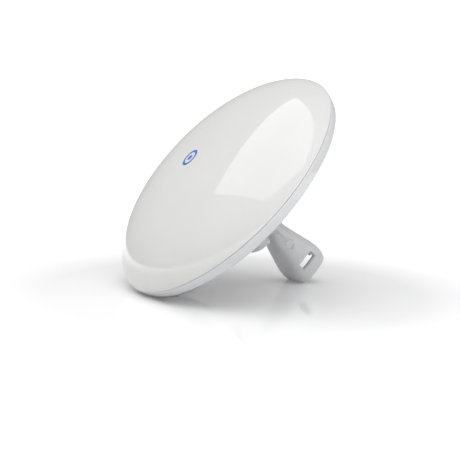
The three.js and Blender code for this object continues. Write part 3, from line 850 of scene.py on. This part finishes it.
def build_light_pipe():
    outline = filleted([(16, -57), (33, -57), (34.7, -46), (16, -46)], [0, 0.5, 0.5, 0], 4)
    return prism("light_pipe_fine", outline, 0.9, DISH, 0.25, count=3, centre=11.5)


def build_reset_button():
    place = DISH @ Matrix.Translation((RESET_X, -64.4, -16)) @ QUARTER_X
    outline = [(0, -2), (1.2, -2), (1.2, 1.55), (1.1, 1.85), (0.85, 2.0), (0.6, 1.9), (0, 1.8)]
    return lathe("reset_button_fine", outline, place, 40)


# ---- Assembly -----------------------------------------------------------------------------------

MARK = DISH @ Vector((0, -3.0, DOME_HEIGHT))  # the aiming mark, where the boresight leaves
CAD_CREASE = 25  # degrees, for the pieces shown as the CAD has them

MATERIALS = {
    "radome_white": dome_plastic("radome_white", (0.685, 0.68, 0.677), 0.055, tuple(MARK)),
    "shell_white": moulded(
        "shell_white", (0.625, 0.628, 0.642), 0.12, grain=1.2, depth=0.006, worn=0.05
    ),
    "mount_grey": moulded(
        "mount_grey", (0.6, 0.602, 0.62), 0.3, grain=0.45, depth=0.016, worn=0.08
    ),
    "natural_plastic": moulded("natural_plastic", (0.76, 0.76, 0.71), 0.4),
    "seal_grey": rubber("seal_grey", (0.42, 0.4, 0.38), 0.75),
    "grommet_rubber": rubber("grommet_rubber", (0.03, 0.03, 0.032), 0.7),
    "reflector_metal": metal("reflector_metal", (0.72, 0.73, 0.74), 0.3),
    "tin_plate": metal("tin_plate", (0.66, 0.67, 0.69), 0.32, stretch=(8, 1, 8)),
    "screw_steel": metal("screw_steel", (0.6, 0.61, 0.63), 0.3, stretch=(6, 6, 1)),
    "contact_brass": metal("contact_brass", (0.8, 0.6, 0.25), 0.25, grain=0.8),
    "board_green": circuit("board_green", (0.02, 0.16, 0.08)),
    "chip_black": moulded("chip_black", (0.028, 0.028, 0.031), 0.45, grain=0.2, depth=0.02),
    "led_lens": clear("led_lens", (0.9, 0.92, 0.84), 0.2),
    "light_pipe_clear": clear("light_pipe_clear", (0.78, 0.83, 0.86), 0.15),
}

SLOTS = {part["node"]: part["material_slot"] for part in frame["record"]["subparts"]}
BODY_OF = {
    node: body for body, nodes in frame["record"]["behaviour"]["bodies"].items() for node in nodes
}

for node, piece in frame["nodes"].items():
    piece.data.materials.clear()
    piece.data.materials.append(MATERIALS[SLOTS[node]].material)
    shade(piece, CAD_CREASE)

FINE = {
    "radome": build_radome(),
    "rear_shell": build_rear_shell(),
    "port_cover": build_port_cover(),
    "lock_nut": build_lock_nut(),
    "ball": build_ball(),
    "arm": build_arm(),
    "ball_screw": build_ball_screw(),
    "cable_grommet": build_grommet(),
    "light_pipe": build_light_pipe(),
    "reset_button": build_reset_button(),
}
for node, piece in FINE.items():
    piece.data.materials.clear()
    piece.data.materials.append(MATERIALS[SLOTS[node]].material)
    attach(piece, BODY_OF[node])
    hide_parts(node)

# ---- Stage, light and camera --------------------------------------------------------------------


def stage_material(name, color, roughness, glow):
    """A white whose far parts glow, so that the floor ends in white on every side."""
    n = Nodes(name)
    tint = n.spread(n.noise(300, 2), 0.3, 0.7)
    n.link(n.blend(tint, tuple(c * 0.995 for c in color), color), n.shader.inputs["Base Color"])
    n.shader.inputs["Roughness"].default_value = roughness
    n.shader.inputs["Emission Color"].default_value = (1, 1, 1, 1)
    away = n.add("ShaderNodeVectorMath", operation="LENGTH")
    n.link(n.place, away.inputs[0])
    n.link(n.spread(away.outputs["Value"], 0.13, 0.42, 0.05, glow), n.shader.inputs["Emission Strength"])
    return n.material


STAGE_SIDES = 64


def stage_ring(radius, z):
    turns = [math.pi * i / (STAGE_SIDES / 2) for i in range(STAGE_SIDES)]
    return [(radius * math.cos(t), radius * math.sin(t), z) for t in turns]


def stage_band(row):
    """The faces between one ring and the next."""
    first, faces = row * STAGE_SIDES, []
    for i in range(STAGE_SIDES):
        j = (i + 1) % STAGE_SIDES
        faces.append((first + i, first + j, first + STAGE_SIDES + j, first + STAGE_SIDES + i))
    return faces


def build_floor():
    """A round pale floor. It reaches far past the object."""
    faces = [tuple(range(STAGE_SIDES))] + stage_band(0)
    floor = make("floor", stage_ring(0.7, 0) + stage_ring(1.6, 0), faces)
    floor.data.materials.append(stage_material("floor_white", (0.93, 0.93, 0.93), 0.05, 0.8))
    return floor


def build_backdrop():
    """A white wall round the floor that only the camera sees."""
    profile = ((1.6, -0.01), (2.6, 0.0), (3.0, 0.4), (3.0, 3.0))
    points = [p for radius, z in profile for p in stage_ring(radius, z)]
    wall = make("backdrop", points, [face for row in range(3) for face in stage_band(row)])
    wall.data.materials.append(stage_material("backdrop_white", (0.5, 0.5, 0.5), 0.6, 1.0))
    for ray in ("diffuse", "glossy", "transmission", "shadow"):
        setattr(wall, "visible_" + ray, False)
    return wall


def softbox(name, corners, strength):
    """A flat lamp between its corners. It shows as a sharp-edged window in gloss."""
    mesh = bpy.data.meshes.new(name)
    mesh.from_pydata(corners, [], [tuple(range(len(corners)))])
    lamp = bpy.data.objects.new(name, mesh)
    bpy.context.scene.collection.objects.link(lamp)
    material = bpy.data.materials.new(name)
    material.use_nodes = True
    nodes = material.node_tree.nodes
    nodes.remove(nodes["Principled BSDF"])
    glow = nodes.new("ShaderNodeEmission")
    glow.inputs["Strength"].default_value = strength
    material.node_tree.links.new(glow.outputs[0], nodes["Material Output"].inputs[0])
    mesh.materials.append(material)
    lamp.visible_camera = False
    lamp.visible_shadow = False
    return lamp


scene = bpy.context.scene
scene.view_settings.view_transform = "Standard"
world = bpy.data.worlds.new("studio")
scene.world = world
world.use_nodes = True
world.node_tree.nodes["Background"].inputs["Color"].default_value = (1, 1, 1, 1)
world.node_tree.nodes["Background"].inputs["Strength"].default_value = 0.42

# The window in the dome's gloss is this lamp's outline, per metre of its height.
LAMP_HEIGHT = 1.25
LAMP_PLAN = [
    (-0.581, 0.196),
    (0.047, 0.102),
    (0.867, -0.097),
    (0.582, -1.05),
    (-0.872, -0.893),
    (-0.812, -0.379),
]
window = [(x * LAMP_HEIGHT, y * LAMP_HEIGHT, LAMP_HEIGHT) for x, y in LAMP_PLAN]
overhead = softbox("overhead", window, 1.85)
side = softbox("side", [(1.1, 0.05, 0.1), (0.8, 0.8, 0.1), (0.8, 0.8, 0.6), (1.1, 0.05, 0.6)], 1.8)
top = softbox("top", [(-0.5, -1.2, 1.5), (1.5, -1.2, 1.5), (1.5, 0.6, 1.5), (-0.5, 0.6, 1.5)], 2.1)
top.visible_glossy = False
build_floor()
build_backdrop()

camera_data = bpy.data.cameras.new("camera")
camera_data.lens = 50
camera_data.sensor_width = 36
camera = bpy.data.objects.new("camera", camera_data)
scene.collection.objects.link(camera)
# the photo's camera, fitted to the rim ellipse, the seam and the arm
RIGHT = Vector((0.48987, 0.87154, 0.02130))
FORWARD = Vector((-0.86619, 0.48934, -0.10127)).normalized()
UP = RIGHT.cross(FORWARD).normalized()
CAMERA_AT = (0.39283, -0.22401, 0.08698)
facing = Matrix((RIGHT, UP, -FORWARD)).transposed().to_4x4()
camera.matrix_world = Matrix.Translation(CAMERA_AT) @ facing
scene.camera = camera
